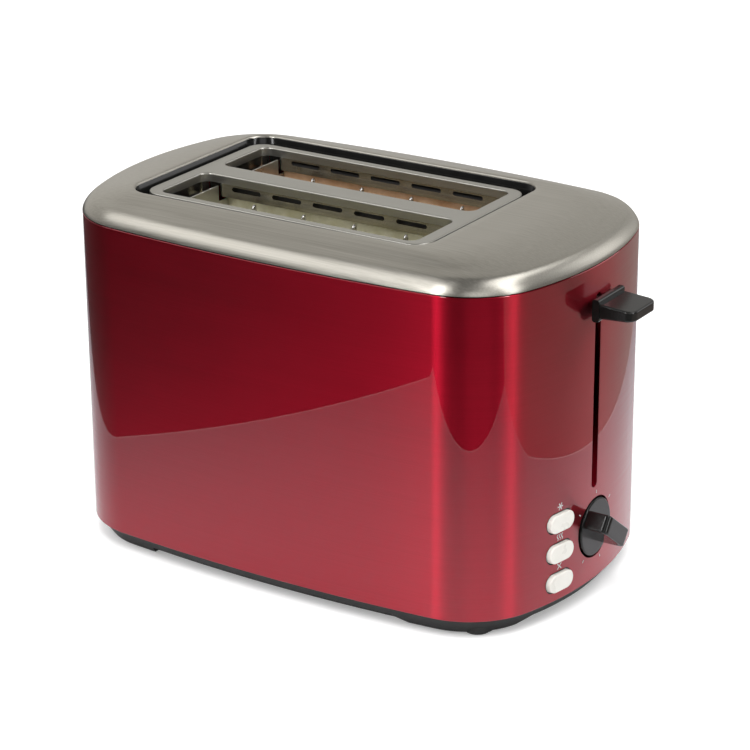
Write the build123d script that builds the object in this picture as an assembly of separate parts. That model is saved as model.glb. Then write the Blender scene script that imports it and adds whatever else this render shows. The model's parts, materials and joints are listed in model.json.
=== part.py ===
from build123d import *
import math
import os

# A two-slot pop-up toaster. Millimetres, +Z up.
# Every function below works in the body frame: x = 0 and y = 0 at the middle of the body's
# footprint, z = 0 on the surface it stands on, the lever end at +X. save() then shifts each
# piece along X, so that the origin is under the middle of the whole toaster, lever included.

# ---- driving dimensions: the outer shape ----
BODY_LENGTH = 264.0
BODY_WIDTH = 165.0
END_BOW = 18.5          # how far the bowed end stands out from its own corners
SIDE_BOW = 6.7
CORNER_R = 41.0
SHEET = 0.8             # steel sheet of the wrap
WRAP_BOTTOM = 10.0
SEAM_Z = 168.0          # where the wrap ends and the top cover starts
SEAM_GAP = 0.4
LIP_Z = 180.0           # the cover's opening edge, the highest line of the toaster
COVER_SHEET = 1.0
COVER_ROLL = 27.0       # width of the cover's rounded shoulder on the long sides

# ---- the cover's opening and the slot bezel ----
OPENING_X = (-96.5, 70.5)
OPENING_HALF_Y = 55.5
OPENING_R = 12.0
LIP_DEPTH = 9.0
FRAME_Z = (165.0, 167.0)    # the moulded frame under the cover
FRAME_INSET = 3.0
FRAME_WINDOW = ((-90.5, 64.5), (-50.5, 50.5))
FRAME_BAY = ((64.0, 88.0), (-24.0, 24.0))
COVER_SCREWS = [(-108.0, -40.0), (-108.0, 40.0), (100.0, -40.0), (100.0, 40.0)]
COVER_SCREW_Z = (155.8, 157.9, 169.5)   # the head's two ends and the thread's tip
SCREW_HEAD_R = 3.3
SCREW_R = 1.6
BEZEL_X = (-92.0, 66.0)
BEZEL_HALF_Y = 48.5
BEZEL_Z = 177.5
SLOT_X = (-85.0, 59.0)
SLOT_WIDTH = 37.0
SLOT_Y = 25.6           # each slot's centre line is this far from the middle
SLOT_R = 5.0

# ---- the lever end ----
LEVER_Z = (144.0, 152.0)
LEVER_TRAVEL = 85.0
LEVER_SLOT_WIDTH = 6.0
LEVER_SLOT_Y = -2.0
KNOB_Y = 1.6            # the lever knob sits a little to the far side of its slot
KNOB_HALF = 12.2
LEVER_SLOT_Z = (57.0, 154.5)
DIAL_Z = 36.6
DIAL_HOLE_R = 15.2
DIAL_R = 14.2
DIAL_TURN = 53.0        # the grip's rest position, anticlockwise from straight up
GRIP_HEIGHT = 12.2      # how far the dial's grip stands out from the wall
GRIP_HALF = (13.0, 12.2)    # half its length, at its root and at its outer edge
GRIP_THICK = 9.0
BUTTON_Y = -29.5
BUTTON_Z = (49.7, 34.4, 19.5)
BUTTON_SIZE = (17.0, 9.0)
BUTTON_STANDS_OUT = 1.8
BUTTON_TRAVEL = 1.8
WALL_X = BODY_LENGTH / 2

# ---- the bread chamber ----
PLATE = 0.8             # chamber end plates
CHAMBER_X = (-76.0, 57.0)
CHAMBER_HALF_Y = 56.0
PLATE_Z = (12.0, 164.0)
PLATE_TAB_TOP = 172.0   # tabs that stand up inside the slot liners
PLATE_FOOT = 12.0
PLATE_SCREW_Y = 51.0
BOARD_Y = 48.0          # outer heater boards
BOARD_Z = (26.0, 166.0)
BOARD = 0.8
BOARD_TAB_Z = ((40.0, 52.0), (124.0, 136.0))
REFLECTOR_Y = 53.0
REFLECTOR_Z = (20.0, 160.0)
RIBBON_WIDTH = 1.6
RIBBON_THICK = 0.3
RIBBON_ROWS = 9
RIBBON_MARGIN = 8.0
GUARD_OFF = 16.5        # a guard's distance from its slot's centre line
GUARD_TRAVEL = 4.5
GUARD_RAIL_Z = (30.0, 156.0)
GUARD_WIRE_TOP = 163.5
GUARD_WIRE_X = (-55.0, -26.0, 3.0, 32.0)
LINER_BOTTOM = 166.4
VENTS = 5
VENT_PITCH = 23.7
VENT_SIZE = (17.0, 2.2)
VENT_Z = 171.0
GUARD_RAIL_R = 1.0
GUARD_WIRE_R = 0.65
RAIL_OVERHANG = 3.0     # how far the rails run past each end plate
RACK_Z = 117.0          # top of the bread racks with the lever up
RACK_DEPTH = 9.0
RACK_FINGERS = 7
RACK_FINGER = (2.4, 19.0)

# ---- the mechanism bay ----
ROD_X = 78.0
ROD_Y = 14.0
ROD_R = 2.0
ROD_Z = (8.5, 160.0)
SLIDE_CLEARANCE = 0.05
BLOCK_Z = (123.0, 143.0)
SPRING_FOOT_Z = 14.0
SPRING_R = 3.3
SPRING_WIRE_R = 0.5
SPRING_TURNS = 12
BRACKET_X = 68.0
MAGNET_X = (86.0, 98.0)
MAGNET_TOP = 33.0
MAGNET_HALF_Y = 8.0
BOARD_X = 104.0         # circuit board
BOARD_THICK = 1.6
CIRCUIT_Y = (-52.0, 38.0)
CIRCUIT_Z = (10.0, 55.0)
BOARD_POSTS_Y = (-46.0, 30.0)
BOARD_POST_TOP = 17.0
RELAY = ((12.0, 30.0), (18.0, 30.0))
SHAFT_R = 3.0

# ---- base, tray and inlet ----
SKIRT_Z = 1.5           # bottom of the base's corners
ARCH_Z = 4.4            # bottom of the base between its corners
ARCH_X = (-73.0, 66.0)
ARCH_HALF_Y = 40.0
ARCH_SLOPE = 8.0
FLOOR_Z = (4.5, 6.5)
SKIRT_INSET = 6.5       # the base's bottom edge, in from the body's outline
RIM_INSET = 1.2
RIM_HEIGHT = 3.2
BASE_WALL = 2.0
VENTS_IN_FLOOR = 7
FLOOR_VENT = (6.0, 72.0)
FLOOR_VENT_PITCH = 18.0
FLOOR_VENT_START = -70.0
SCREW_POST = (4.5, 12.0)    # radius and top of the posts that the base screws run through
BASE_SCREW_Z = (2.4, 15.5)
TRAY_X = (-119.0, 60.0)
TRAY_HALF_Y = 44.0
TRAY_Z = (6.8, 9.6)
TRAY_SHEET = 0.6
FEET = [(-100.0, 58.0), (-100.0, -58.0), (103.0, 59.0), (103.0, -59.0)]
FOOT_R = 6.0
FOOT_RECESS = 1.5
SCREWS = [(-82.8, 51.0), (-82.8, -51.0), (63.8, 51.0), (63.8, -51.0)]
GLAND_Z = 25.0
GLAND_BORE_R = 3.6
GLAND_HOLE_R = 5.1
GLAND_FLANGE_R = 7.5

# ---- the whole toaster's reach from the body's middle ----
LEVER_REACH = 154.0     # the lever knob's outer edge
REAR_REACH = 135.0      # the inlet gland's outer face
SHIFT_X = -(LEVER_REACH - REAR_REACH) / 2


def save(name, shape):
    """Writes one piece in the shared frame. Its file's name is the node's name."""
    solids = [Pos(SHIFT_X, 0, 0) * s for s in shape.solids()]
    whole = solids[0] if len(solids) == 1 else Compound(children=solids)
    export_step(whole, f"parts/{name}.step")


def box(x, y, z):
    """A block from three (low, high) pairs."""
    size = [high - low for low, high in (x, y, z)]
    return Pos(*[(low + high) / 2 for low, high in (x, y, z)]) * Box(*size)


def rod_z(x, y, z, r):
    return Pos(x, y, (z[0] + z[1]) / 2) * Cylinder(r, z[1] - z[0])


def rod_x(x, y, z, r):
    return Pos((x[0] + x[1]) / 2, y, z) * Rot(0, 90, 0) * Cylinder(r, x[1] - x[0])


def bowed(x, half_y, end_bow, side_bow, corner_r):
    """A rectangle with bowed sides and rounded corners, as a flat face at z = 0."""
    cx = (x[0] + x[1]) / 2
    left, right, side = x[0] + end_bow, x[1] - end_bow, half_y - side_bow
    outline = (
        ThreePointArc((right, -side), (x[1], 0), (right, side))
        + ThreePointArc((right, side), (cx, half_y), (left, side))
        + ThreePointArc((left, side), (x[0], 0), (left, -side))
        + ThreePointArc((left, -side), (cx, -half_y), (right, -side))
    )
    face = make_face(outline)
    return fillet(face.vertices(), corner_r)


def plan(inset=0.0):
    """The body's plan outline, pulled in all round by inset."""
    half = (BODY_LENGTH / 2 - inset, BODY_WIDTH / 2 - inset)
    return bowed((-half[0], half[0]), half[1], END_BOW, SIDE_BOW, CORNER_R - inset)


def prism(face, z):
    return extrude(Pos(0, 0, z[0]) * face, z[1] - z[0], dir=(0, 0, 1))


def plate(x, half_y, r, z):
    """A flat plate with rounded corners, centred on y = 0."""
    face = Pos((x[0] + x[1]) / 2, 0, 0) * RectangleRounded(x[1] - x[0], 2 * half_y, r)
    return prism(face, z)


def ring(x, half_y, r, z, thick):
    """A rectangular sleeve, whose wall lies inside the given outline."""
    inner = plate((x[0] + thick, x[1] - thick), half_y - thick, max(r - thick, 0.3), z)
    return plate(x, half_y, r, z) - inner


def pill_x(y, z, x, width, height):
    """A pill-shaped bar along X."""
    face = Plane.YZ * Pos(y, z) * SlotOverall(width, height)
    return extrude(Pos(x[0], 0, 0) * face, x[1] - x[0], dir=(1, 0, 0))


# ---------------------------------------------------------------- outer shells
def body_wrap():
    z = (WRAP_BOTTOM, SEAM_Z - SEAM_GAP)
    wrap = prism(plan(), z) - prism(plan(SHEET), z)
    through = (WALL_X - 12, WALL_X + 4)
    half = LEVER_SLOT_WIDTH / 2
    slot_mid = sum(LEVER_SLOT_Z) / 2
    slot_height = LEVER_SLOT_Z[1] - LEVER_SLOT_Z[0]
    lever_slot = Plane.YZ * Pos(LEVER_SLOT_Y, slot_mid) * Rot(0, 0, 90) * SlotOverall(slot_height, 2 * half)
    wrap -= extrude(Pos(through[0], 0, 0) * lever_slot, through[1] - through[0], dir=(1, 0, 0))
    wrap -= rod_x(through, 0, DIAL_Z, DIAL_HOLE_R)
    for z_button in BUTTON_Z:
        wrap -= pill_x(BUTTON_Y, z_button, through, BUTTON_SIZE[0] + 0.8, BUTTON_SIZE[1] + 0.8)
    wrap -= rod_x((-WALL_X - 2, -WALL_X + 4), 0, GLAND_Z, GLAND_HOLE_R)
    return wrap


def dome(inset, drop):
    """The top cover's domed block: flat sections that shrink from the body's plan to the opening.
    The long sides follow a quarter ellipse, and the ends flatten out further from the edge."""
    rise = LIP_Z - SEAM_Z
    reach_right = BODY_LENGTH / 2 - OPENING_X[1] - COVER_ROLL
    reach_left = OPENING_X[0] + BODY_LENGTH / 2 - COVER_ROLL
    sections = []
    steps = 6
    for i in range(steps + 1):
        angle = math.radians(90 * i / steps)
        up, in_ = math.sin(angle), 1 - math.cos(angle)
        late = up**7
        shrink = COVER_ROLL * in_ + inset
        x = (
            -BODY_LENGTH / 2 + shrink + reach_left * late,
            BODY_LENGTH / 2 - shrink - reach_right * late,
        )
        corner = CORNER_R + (OPENING_R - CORNER_R) * in_ - inset
        face = bowed(
            x,
            BODY_WIDTH / 2 - shrink,
            END_BOW + (1.5 - END_BOW) * in_,
            SIDE_BOW + (1.0 - SIDE_BOW) * in_,
            corner,
        )
        sections.append(Pos(0, 0, SEAM_Z + rise * up - drop) * face)
    return loft(sections)


def opening_face(grow=0.0):
    x = (OPENING_X[0] - grow, OPENING_X[1] + grow)
    return bowed(x, OPENING_HALF_Y + grow, 1.5, 1.0, OPENING_R + grow)


def top_cover():
    shell = dome(0, 0) - dome(COVER_SHEET, COVER_SHEET)
    shell -= prism(plan(COVER_SHEET), (SEAM_Z - 3, SEAM_Z))
    shell -= prism(opening_face(), (SEAM_Z, LIP_Z + 1))
    lip_z = (LIP_Z - LIP_DEPTH, LIP_Z - 0.6)
    lip = prism(opening_face(0.9), lip_z) - prism(opening_face(), lip_z)
    skirt_z = (SEAM_Z - 6, SEAM_Z + 2)
    skirt = prism(plan(SHEET + 0.2), skirt_z) - prism(plan(SHEET + 1.2), skirt_z)
    return shell + lip + skirt


def slot_bezel():
    z = (BEZEL_Z - 1.0, BEZEL_Z)
    bezel = plate(BEZEL_X, BEZEL_HALF_Y, 9.0, z)
    bezel += ring(BEZEL_X, BEZEL_HALF_Y, 9.0, (BEZEL_Z - 6, BEZEL_Z - 0.5), 0.9)
    rim_x = (SLOT_X[0] - 0.9, SLOT_X[1] + 0.9)
    rim_z = (BEZEL_Z - 4.3, BEZEL_Z - 0.5)
    for side in (-1, 1):
        at = Pos(0, side * SLOT_Y, 0)
        bezel += at * ring(rim_x, SLOT_WIDTH / 2 + 0.9, SLOT_R + 0.9, rim_z, 0.9)
        bezel -= at * plate(SLOT_X, SLOT_WIDTH / 2, SLOT_R, (BEZEL_Z - 7, BEZEL_Z + 1))
    top_edges = bezel.edges().filter_by(lambda e: e.bounding_box().min.Z > BEZEL_Z - 0.01)
    return fillet(top_edges, 0.8)


def slot_liner(side):
    """Sheet sleeve under one bread slot, with a row of long vents in each long wall."""
    z = (LINER_BOTTOM, BEZEL_Z - 4.4)
    x = (SLOT_X[0] - 0.9, SLOT_X[1] + 0.9)
    liner = ring(x, SLOT_WIDTH / 2 + 0.9, SLOT_R, z, 0.6)
    first = (x[0] + x[1]) / 2 - VENT_PITCH * (VENTS - 1) / 2
    for i in range(VENTS):
        vent = Plane.XZ * Pos(first + i * VENT_PITCH, VENT_Z) * SlotOverall(*VENT_SIZE)
        liner -= extrude(vent, 40, both=True)
    return Pos(0, side * SLOT_Y, 0) * liner


def top_frame():
    """Black moulded frame under the cover: it carries the cover and closes the gap below it."""
    frame = prism(plan(FRAME_INSET), FRAME_Z)
    through = (FRAME_Z[0] - 15, FRAME_Z[1] + 5)
    frame -= box(*FRAME_WINDOW, through)
    frame -= box(*FRAME_BAY, through)
    for x, y in COVER_SCREWS:
        frame += rod_z(x, y, (COVER_SCREW_Z[1] + 0.1, FRAME_Z[0] + 0.5), SCREW_HEAD_R + 0.7)
        frame -= rod_z(x, y, through, SCREW_R + SLIDE_CLEARANCE)
    return frame


def cover_screws():
    """Screws from below that hold the cover down on the frame."""
    head_bottom, head_top, tip = COVER_SCREW_Z
    screws = []
    for x, y in COVER_SCREWS:
        head = rod_z(x, y, (head_bottom, head_top), SCREW_HEAD_R)
        screws.append(head + rod_z(x, y, (head_top - 0.4, tip), SCREW_R))
    return Compound(children=screws)


# ---------------------------------------------------------------- base
def base_block():
    """The base's flared outside, from its bottom edge up to the wrap."""
    sections = [Pos(0, 0, SKIRT_Z) * plan(SKIRT_INSET), Pos(0, 0, WRAP_BOTTOM) * plan(RIM_INSET)]
    return loft(sections, ruled=True)


def base():
    rim_z = (WRAP_BOTTOM - 1.0, WRAP_BOTTOM + RIM_HEIGHT)
    lower = base_block()
    lower -= prism(plan(SKIRT_INSET + BASE_WALL), (FLOOR_Z[1], WRAP_BOTTOM + 1))
    lower -= prism(plan(SKIRT_INSET + BASE_WALL + 1), (SKIRT_Z - 1, FLOOR_Z[0]))
    lower += prism(plan(RIM_INSET), rim_z) - prism(plan(SKIRT_INSET + BASE_WALL), rim_z) - inside_rim(rim_z)
    lower -= arches()
    for x, y in FEET:
        lower += rod_z(x, y, (SKIRT_Z, FLOOR_Z[0] + 0.5), FOOT_R + BASE_WALL)
        lower -= rod_z(x, y, (0, SKIRT_Z + FOOT_RECESS), FOOT_R + 0.1)
    for x, y in SCREWS:
        lower += rod_z(x, y, (FLOOR_Z[0], SCREW_POST[1]), SCREW_POST[0])
        lower -= rod_z(x, y, (0, SCREW_POST[1] + 8), SCREW_R + 0.3)
    for side in (-1, 1):
        lower += rod_z(ROD_X, side * ROD_Y, (FLOOR_Z[0], SPRING_FOOT_Z), 5.0)
        lower -= rod_z(ROD_X, side * ROD_Y, (ROD_Z[0], SPRING_FOOT_Z + 6), ROD_R + SLIDE_CLEARANCE)
    for y in BOARD_POSTS_Y:
        post_x = (BOARD_X - 3, BOARD_X + BOARD_THICK + 3)
        groove_x = (BOARD_X - 0.1, BOARD_X + BOARD_THICK + 0.1)
        lower += box(post_x, (y, y + 5), (FLOOR_Z[0], BOARD_POST_TOP))
        lower -= box(groove_x, (y - 1, y + 6), (CIRCUIT_Z[0] - 0.1, BOARD_POST_TOP + 1))
    width, length = FLOOR_VENT
    for i in range(VENTS_IN_FLOOR):
        x = FLOOR_VENT_START + FLOOR_VENT_PITCH * i
        lower -= box((x, x + width), (-length / 2, length / 2), (0, FLOOR_Z[1] + 1))
    gate_y = TRAY_HALF_Y + 1.4
    return lower - box((-WALL_X - 8, -WALL_X + 32), (-gate_y, gate_y), (FLOOR_Z[1], WRAP_BOTTOM + 7))


def inside_rim(rim_z):
    """The space inside the rim, where it stands up inside the wrap as a thin wall."""
    return prism(plan(RIM_INSET + BASE_WALL + 0.2), (WRAP_BOTTOM, rim_z[1] + 1))


def arches():
    """Cut-outs that lift the skirt between its deep corners."""
    start, stop = ARCH_X
    long_side = Polyline(
        (start, SKIRT_Z - 1),
        (start, ARCH_Z),
        (stop, ARCH_Z),
        (stop + ARCH_SLOPE, SKIRT_Z),
        (stop + ARCH_SLOPE, 0),
        close=True,
    )
    foot, top = ARCH_HALF_Y + ARCH_SLOPE, ARCH_HALF_Y
    end = Polyline(
        (-foot, 0), (-foot, SKIRT_Z), (-top, ARCH_Z), (top, ARCH_Z), (foot, SKIRT_Z), (foot, 0), close=True
    )
    along = extrude(Plane.XZ * make_face(long_side), BODY_WIDTH, both=True)
    across = extrude(Plane.YZ * make_face(end), BODY_LENGTH, both=True)
    middle = prism(plan(SKIRT_INSET + 2.5), (-5, ARCH_Z + 1))
    return (along + across) - middle


def rubber_feet():
    return Compound(children=[rod_z(x, y, (0, SKIRT_Z + FOOT_RECESS), FOOT_R) for x, y in FEET])


def base_screws():
    screws = []
    for x, y in SCREWS:
        head = rod_z(x, y, (BASE_SCREW_Z[0], FLOOR_Z[0]), SCREW_HEAD_R)
        head -= box((x - 2.6, x + 2.6), (y - 0.5, y + 0.5), (BASE_SCREW_Z[0] - 1, BASE_SCREW_Z[0] + 1))
        screws.append(head + rod_z(x, y, (FLOOR_Z[0] - 0.1, BASE_SCREW_Z[1]), SCREW_R))
    return Compound(children=screws)


def crumb_tray():
    tray = box(TRAY_X, (-TRAY_HALF_Y, TRAY_HALF_Y), TRAY_Z)
    inner_x = (TRAY_X[0] + TRAY_SHEET, TRAY_X[1] - TRAY_SHEET)
    inner_y = TRAY_HALF_Y - TRAY_SHEET
    return tray - box(inner_x, (-inner_y, inner_y), (TRAY_Z[0] + TRAY_SHEET, TRAY_Z[1] + 1))


def crumb_tray_handle():
    """Follows the base's outer surface, and fills the tray's way out."""
    half_y = TRAY_HALF_Y + 1.0
    z = (FLOOR_Z[1] + 0.2, WRAP_BOTTOM - 0.3)
    return base_block() & box((-WALL_X - 8, TRAY_X[0]), (-half_y, half_y), z)


def cord_gland():
    """Rubber bush in the rear wall, which a flex comes through."""
    wall = -WALL_X
    gland = rod_x((-REAR_REACH, wall - 0.1), 0, GLAND_Z, GLAND_FLANGE_R)
    gland += rod_x((wall - 0.2, wall + SHEET + 0.3), 0, GLAND_Z, GLAND_HOLE_R - 0.1)
    gland += rod_x((wall + SHEET + 0.2, wall + 5.0), 0, GLAND_Z, GLAND_FLANGE_R - 0.5)
    return gland - rod_x((wall - 10, wall + 10), 0, GLAND_Z, GLAND_BORE_R)


# ---------------------------------------------------------------- bread chamber
def end_plate(lever_side):
    """One chamber end plate, with slots for the racks, the guards' rails and the boards' tabs."""
    x = (CHAMBER_X[1], CHAMBER_X[1] + PLATE) if lever_side else (CHAMBER_X[0] - PLATE, CHAMBER_X[0])
    through = (x[0] - 2, x[1] + 2)
    sheet = box(x, (-CHAMBER_HALF_Y, CHAMBER_HALF_Y), PLATE_Z)
    away = 1 if lever_side else -1
    rack_slot_z = (RACK_Z - LEVER_TRAVEL - 10, RACK_Z + 3)
    for side in (-1, 1):
        foot = (x[0], x[0] + PLATE_FOOT) if lever_side else (x[1] - PLATE_FOOT, x[1])
        foot_y = (side * PLATE_SCREW_Y - 5, side * PLATE_SCREW_Y + 5)
        sheet += box(foot, foot_y, (PLATE_Z[0], PLATE_Z[0] + PLATE))
        tab_y = (side * SLOT_Y - SLOT_WIDTH / 2 + 1, side * SLOT_Y + SLOT_WIDTH / 2 - 1)
        sheet += box(x, tab_y, (PLATE_Z[1] - 1, PLATE_TAB_TOP))
        hole_x = x[0] + PLATE / 2 + away * 6.4
        sheet -= rod_z(hole_x, side * PLATE_SCREW_Y, (PLATE_Z[0] - 1, PLATE_Z[0] + 2), SCREW_R + 0.05)
        rack = side * SLOT_Y
        sheet -= box(through, (rack - 2.2, rack + 2.2), rack_slot_z)
        for inner in (-1, 1):
            rest = rack + inner * GUARD_OFF
            moved = rest - inner * GUARD_TRAVEL
            y = (min(rest, moved) - GUARD_RAIL_R - 0.4, max(rest, moved) + GUARD_RAIL_R + 0.4)
            for rail in GUARD_RAIL_Z:
                sheet -= box(through, y, (rail - 1.4, rail + 1.4))
    for y in (-BOARD_Y, 0, BOARD_Y):
        half = BOARD / 2 + 0.15
        for low, high in BOARD_TAB_Z:
            sheet -= box(through, (y - half, y + half), (low - 0.2, high + 0.2))
    return sheet


def heater_board(y):
    x = (CHAMBER_X[0] + 0.2, CHAMBER_X[1] - 0.2)
    board = box(x, (y - BOARD / 2, y + BOARD / 2), BOARD_Z)
    for tab in BOARD_TAB_Z:
        board += box((x[0] - 2.2, x[1] + 2.2), (y - BOARD / 2, y + BOARD / 2), tab)
    return board


def ribbon(y, face):
    """One flat resistance ribbon that runs to and fro across a board's face, towards face."""
    lay = sorted((y + face * BOARD / 2, y + face * (BOARD / 2 + RIBBON_THICK)))
    x = (CHAMBER_X[0] + 6, CHAMBER_X[1] - 6)
    width, rows = RIBBON_WIDTH, RIBBON_ROWS
    pitch = (BOARD_Z[1] - BOARD_Z[0] - 2 * RIBBON_MARGIN) / (rows - 1)
    whole = None
    for i in range(rows):
        z = BOARD_Z[0] + RIBBON_MARGIN + i * pitch
        run = box(x, lay, (z - width / 2, z + width / 2))
        if i < rows - 1:
            turn_x = (x[1] - width, x[1]) if i % 2 == 0 else (x[0], x[0] + width)
            run += box(turn_x, lay, (z - width / 2, z + pitch + width / 2))
        whole = run if whole is None else whole + run
    return whole


def reflector(side):
    y = sorted((side * REFLECTOR_Y, side * (REFLECTOR_Y + 0.6)))
    return box((CHAMBER_X[0] + 0.1, CHAMBER_X[1] - 0.1), y, REFLECTOR_Z)


def guard(y):
    """One wire bread guard: two rails joined by upright wires that stand up past the top rail."""
    x = (CHAMBER_X[0] - RAIL_OVERHANG, CHAMBER_X[1] + RAIL_OVERHANG)
    grill = rod_x(x, y, GUARD_RAIL_Z[0], GUARD_RAIL_R) + rod_x(x, y, GUARD_RAIL_Z[1], GUARD_RAIL_R)
    for wire_x in GUARD_WIRE_X:
        grill += rod_z(wire_x, y, (GUARD_RAIL_Z[0], GUARD_WIRE_TOP), GUARD_WIRE_R)
    return grill


# ---------------------------------------------------------------- carriage
def bread_rack(side):
    """A bar on edge along the slot, with fingers across it that the bread stands on."""
    y = side * SLOT_Y
    bar = box((CHAMBER_X[0] - 6, BRACKET_X), (y - 0.6, y + 0.6), (RACK_Z - RACK_DEPTH, RACK_Z - 1))
    first, last = CHAMBER_X[0] + 10, CHAMBER_X[1] - 10
    bar -= box((first, last), (y - 2, y + 2), (RACK_Z - RACK_DEPTH - 0.5, RACK_Z - RACK_DEPTH + 4))
    pitch = (last - first) / (RACK_FINGERS - 1)
    width, length = RACK_FINGER
    for i in range(RACK_FINGERS):
        x = first + i * pitch
        bar += box((x - width / 2, x + width / 2), (y - length / 2, y + length / 2), (RACK_Z - 2, RACK_Z))
    return bar


def carriage_bracket():
    """Bent steel plate that carries both racks, the lever arm and the keeper's tongue."""
    x = (BRACKET_X, BRACKET_X + 1.5)
    low = RACK_Z - 10
    plate_ = box(x, (-31, 31), (low, low + 14)) + box(x, (-11, 11), (low, LEVER_Z[1] + 1))
    tongue = box((BRACKET_X, MAGNET_X[1]), (-5, 5), (MAGNET_TOP + LEVER_TRAVEL + 2.5, BLOCK_Z[0] - 0.6))
    return plate_ + tongue


def slide_block():
    block = box((BRACKET_X + 1.5, ROD_X + 5.5), (-20, 20), BLOCK_Z)
    edges = block.edges().filter_by(Axis.Z)
    block = fillet(edges, 1.5)
    for side in (-1, 1):
        block -= rod_z(ROD_X, side * ROD_Y, (100, 160), ROD_R + SLIDE_CLEARANCE)
    return block


def lever_arm():
    y = (LEVER_SLOT_Y - 1.0, LEVER_SLOT_Y + 1.0)
    return box((BRACKET_X + 1.5, WALL_X + 4.0), y, LEVER_Z)


def lever_knob():
    """Black lever: a back plate with a raised ridge, and a paddle that thins towards its edge."""
    x = WALL_X + 1.2
    back = box((x, x + 3.6), (-KNOB_HALF, KNOB_HALF), (142.6, 153.4))
    back = fillet(back.edges().filter_by(Axis.Y), 1.2)
    side = Polyline(
        (x + 2.8, 144.2), (x + 2.8, 151.4), (LEVER_REACH, 150.2), (LEVER_REACH, 145.4), close=True
    )
    paddle = extrude(Plane.XZ * make_face(side), KNOB_HALF - 0.4, both=True)
    outer = paddle.edges().filter_by(Axis.Z).sort_by(Axis.X)[-2:]
    paddle = fillet(outer, 4.5)
    rim = [e for e in paddle.edges() if e.bounding_box().max.X > x + 4 and e.bounding_box().size.Z < 2]
    knob = Pos(0, KNOB_Y, 0) * (back + fillet(rim, 1.0))
    y = (LEVER_SLOT_Y - 1.02, LEVER_SLOT_Y + 1.02)
    return knob - box((WALL_X, WALL_X + 4.05), y, (LEVER_Z[0] - 0.02, LEVER_Z[1] + 0.02))


def keeper_plate():
    z = MAGNET_TOP + LEVER_TRAVEL + 0.5
    return box(MAGNET_X, (-MAGNET_HALF_Y, MAGNET_HALF_Y), (z, z + 2.0))


# ---------------------------------------------------------------- rods, springs, magnet
def guide_rods():
    return Compound(children=[rod_z(ROD_X, side * ROD_Y, ROD_Z, ROD_R) for side in (-1, 1)])


def rod_bracket():
    """Steel bracket that holds the rods' tops off the chamber's end plate."""
    x = (CHAMBER_X[1] + PLATE, ROD_X + 6)
    bracket = box(x, (-21, 21), (157.0, 158.2)) + box((x[0], x[0] + 1.2), (-21, 21), (157.0, 163.5))
    for side in (-1, 1):
        bracket -= rod_z(ROD_X, side * ROD_Y, (150, 165), ROD_R + SLIDE_CLEARANCE)
    return bracket


def lift_springs():
    height = BLOCK_Z[0] - SPRING_FOOT_Z - 2 * SPRING_WIRE_R
    pitch = height / SPRING_TURNS
    path = Helix(pitch, height, SPRING_R)
    section = Plane(path @ 0, z_dir=path % 0) * Circle(SPRING_WIRE_R)
    coil = sweep(section, path, is_frenet=True)
    foot = SPRING_FOOT_Z + SPRING_WIRE_R
    return Compound(children=[Pos(ROD_X, side * ROD_Y, foot) * coil for side in (-1, 1)])


def magnet_core():
    x = MAGNET_X
    yoke = box(x, (-MAGNET_HALF_Y, MAGNET_HALF_Y), (FLOOR_Z[1], MAGNET_TOP))
    window_z = (FLOOR_Z[1] + 3, MAGNET_TOP + 1)
    for side in (-1, 1):
        yoke -= box((x[0] - 1, x[1] + 1), sorted((side * 3.0, side * 6.2)), window_z)
    return yoke


def magnet_coil():
    z = (FLOOR_Z[1] + 3.2, MAGNET_TOP - 3)
    coil = box((MAGNET_X[0] - 2.8, MAGNET_X[1] + 2.8), (-6.0, 6.0), z)
    coil = fillet(coil.edges().filter_by(Axis.Z), 2.0)
    return coil - box((MAGNET_X[0] - 0.1, MAGNET_X[1] + 0.1), (-3.1, 3.1), (0, 60))


# ---------------------------------------------------------------- electronics and controls
def circuit_board():
    return box((BOARD_X, BOARD_X + BOARD_THICK), CIRCUIT_Y, CIRCUIT_Z)


def potentiometer():
    face = BOARD_X + BOARD_THICK
    pot = box((face, face + 7), (-8.5, 8.5), (DIAL_Z - 8.5, DIAL_Z + 8.5))
    pot += rod_x((face + 7, face + 9), 0, DIAL_Z, 4.5)
    return pot - rod_x((face + 1, face + 20), 0, DIAL_Z, SHAFT_R + SLIDE_CLEARANCE)


def button_switches():
    face = BOARD_X + BOARD_THICK
    return Compound(
        children=[
            box((face, face + 4.5), (BUTTON_Y - 3, BUTTON_Y + 3), (z - 3, z + 3))
            + rod_x((face + 4.4, face + 6.2), BUTTON_Y, z, 1.75)
            for z in BUTTON_Z
        ]
    )


def board_parts():
    """A relay, two electrolytic capacitors and a dropper resistor on the board's inner face."""
    back = BOARD_X
    relay = box((back - 12, back), *RELAY)
    caps = [rod_x((back - 11, back), y, 40, 4.0) for y in (16, 27)]
    dropper = rod_x((back - 9, back), -20, 42, 3.0)
    return Compound(children=[relay, *caps, dropper])


def switch_block():
    block = box((86, 100), (-36, -20), (FLOOR_Z[1], 24))
    return block - box((84, 97), (-33, -23), (19, 25))


def switch_blades():
    blades = []
    for y in (-31.0, -26.0):
        blades.append(box((73, 97), (y - 1.5, y + 1.5), (19.0, 19.4)))
    return Compound(children=blades)


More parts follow.
